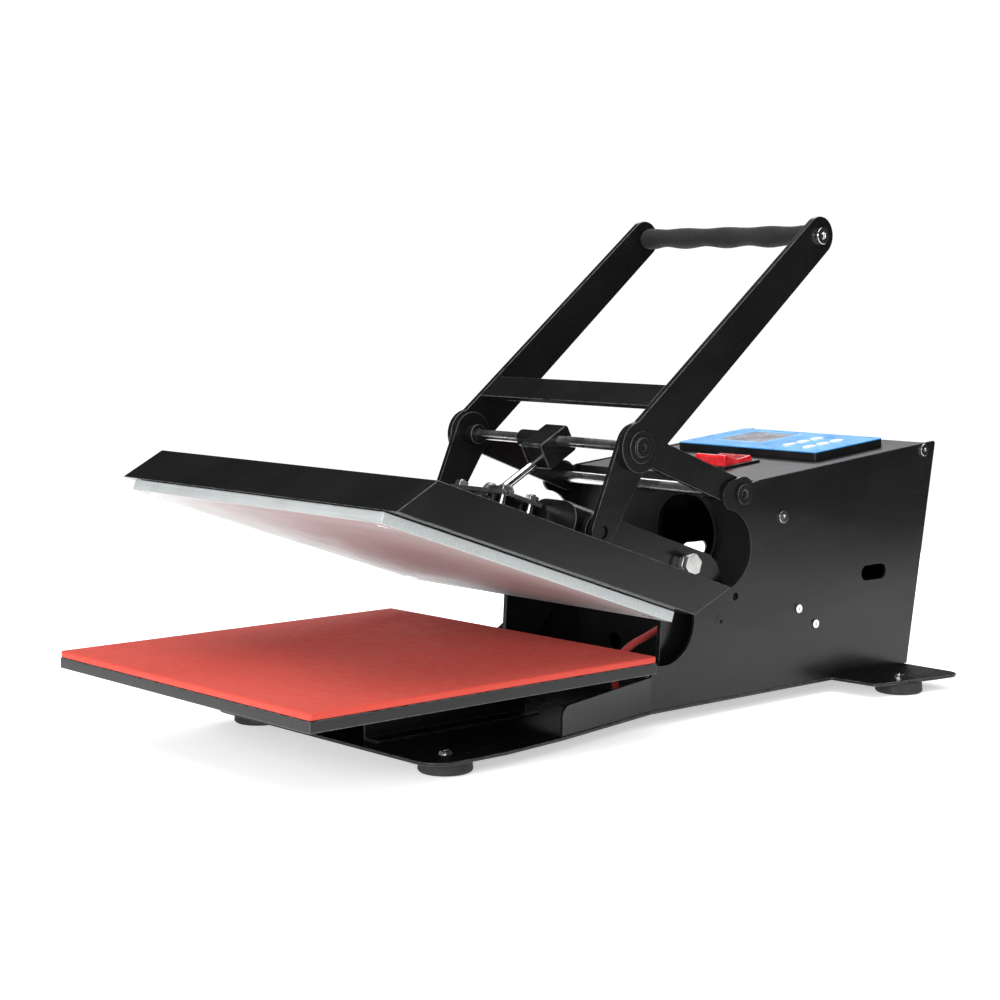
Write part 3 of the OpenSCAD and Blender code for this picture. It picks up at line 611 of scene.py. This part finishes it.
def foam_grip(material):
    """A foam sleeve with finger waves under it, pinched in a little at its ends."""
    bore = 7.6 * MM                             # radius of the hole for the grip tube
    pinch, pinch_reach = 0.22, 2.2 * MM         # how far an end narrows, and how fast that fades
    finger = 58.5 * MM                          # from one wave to the next
    calm, rise = 6 * MM, 22 * MM                # the waves start this far from an end, and grow over this
    depth_under, depth_over = 2.4 * MM, 1.1 * MM
    dents, dent_scale, dents_round = 0.12 * MM, 260, 3      # small dents: depth, and how close they lie
    steps, around = 150, 56

    low, high = (Vector(p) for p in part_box("foam_grip"))
    centre, length = (low + high) / 2, high.x - low.x
    radius = (high.z - low.z) / 2

    def ring(x, radius_at):
        """Points round the grip's axis at x, each at the radius for its angle."""
        points = []
        for a in circle(around):
            r = radius_at(a)
            points.append(Vector((x, centre.y + r * math.cos(a), centre.z + r * math.sin(a))))
        return points

    def sleeve_ring(u):
        """The ring at u, from 0 at one end to 1 at the other."""
        x = low.x + length * u
        inner = min(u, 1 - u) * length
        end = 1 - pinch * math.exp(-inner / pinch_reach)
        wave = 0.5 - 0.5 * math.cos(2 * math.pi * (u - 0.5) * length / finger)
        fade = min(1.0, max(0.0, (inner - calm) / rise))

        def sleeve_radius(a):
            across, up = math.cos(a), math.sin(a)
            hollow = depth_under * max(0.0, -up) ** 0.7 + depth_over * max(0.0, up)
            dent = noise.noise(Vector((x * dent_scale, across * dents_round, up * dents_round)))
            return min(radius, radius * end - hollow * wave * fade + dents * dent)

        return ring(x, sleeve_radius)

    outside = [sleeve_ring(i / steps) for i in range(steps + 1)]
    bore_start, bore_end = (ring(x, lambda a: bore) for x in (low.x, high.x))
    bm = lofted([bore_end, bore_start] + outside + [bore_end], closed_ends=False)
    bmesh.ops.remove_doubles(bm, verts=bm.verts, dist=MERGE)
    bmesh.ops.recalc_face_normals(bm, faces=bm.faces)
    piece = add_piece("foam_grip", bm, material, SOFT_CREASE)


def silicone_pad(material):
    """The pad as a cut sheet of silicone sponge, with rounded corners and a soft rim."""
    corner, rim = 3 * MM, 1.3 * MM
    corner_points = 7

    low, high = (Vector(p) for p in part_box("silicone_pad"))
    centre, size = (low + high) / 2, high - low

    def outline(inset):
        points = []
        for side_x, side_y, start in ((1, 1, 0), (-1, 1, 90), (-1, -1, 180), (1, -1, 270)):
            for k in range(corner_points):
                a = math.radians(start + 90 * k / (corner_points - 1))
                x = side_x * (size.x / 2 - corner) + (corner - inset) * math.cos(a)
                y = side_y * (size.y / 2 - corner) + (corner - inset) * math.sin(a)
                points.append((centre.x + x, centre.y + y))
        return points

    # How far in the outline lies, and how high, from the underside up
    levels = [(rim, 0), (rim * 0.3, rim * 0.35), (0, rim),
              (0, size.z - rim), (rim * 0.3, size.z - rim * 0.3), (rim, size.z)]
    bm = lofted([[Vector((x, y, low.z + z)) for x, y in outline(inset)] for inset, z in levels])
    piece = add_piece("silicone_pad", bm, material, PAD_CREASE)


def catmull(points, steps):
    """A smooth curve through the points, with this many steps from each one to the next."""
    out = []
    for i in range(len(points) - 1):
        a, b = points[max(i - 1, 0)], points[i]
        c, d = points[i + 1], points[min(i + 2, len(points) - 1)]
        for k in range(steps):
            t = k / steps
            out.append(0.5 * (2 * b + (c - a) * t + (2 * a - 5 * b + 4 * c - d) * t * t
                              + (3 * b - a - 3 * c + d) * t * t * t))
    out.append(points[-1])
    return out


def cable_tube(path, radius, around):
    """A round tube along a path in a plane of one X. Its UVs are metres along it and turns round it."""
    bm = bmesh.new()
    uv = bm.loops.layers.uv.new("UVMap")
    across = Vector((1, 0, 0))
    rows, run = [], [0.0]
    for i, p in enumerate(path):
        ahead = (path[min(i + 1, len(path) - 1)] - path[max(i - 1, 0)]).normalized()
        up = ahead.cross(across)
        rows.append([bm.verts.new(p + radius * (math.cos(a) * across + math.sin(a) * up))
                     for a in circle(around)])
        if i:
            run.append(run[-1] + (p - path[i - 1]).length)
    for i in range(len(rows) - 1):
        for k in range(around):
            j = (k + 1) % around
            face = bm.faces.new((rows[i][k], rows[i][j], rows[i + 1][j], rows[i + 1][k]))
            for loop, (a, b) in zip(face.loops, ((i, k), (i, k + 1), (i + 1, k + 1), (i + 1, k))):
                loop[uv].uv = (run[a], b / around)
    bm.faces.new(rows[0][::-1])
    bm.faces.new(rows[-1])
    bmesh.ops.recalc_face_normals(bm, faces=bm.faces)
    return bm


def heater_cable(material):
    """The sleeved cable from the platen's gland, round in a slack loop and down to the base."""
    x, radius = 85 * MM, 3.5 * MM
    # Its route in mm, as (y, z)
    route = [(27.95, 123.7), (29.5, 120.0), (40, 114), (56, 115), (74, 118), (89, 115.5), (99, 108),
             (99, 98), (86, 90), (68, 84), (46, 77), (26, 71), (10, 62), (3, 50), (3, 38), (4, 28), (4, 15)]
    path = catmull([Vector((x, y * MM, z * MM)) for y, z in route], steps=6)
    bm = cable_tube(path, radius, around=20)
    piece = add_piece("heater_cable", bm, material, SOFT_CREASE, rides=False)
    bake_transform(piece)


def main():
    make_camera()
    make_world()
    make_floor()
    make_lights()
    materials = make_materials()
    for node, (look, offset) in LOOKS.items():
        add_piece(node, softened(node, offset * MM), materials[look], CAD_CREASE)
    foam_grip(materials["foam"])
    silicone_pad(materials["silicone"])
    heater_cable(materials["braid"])


main()
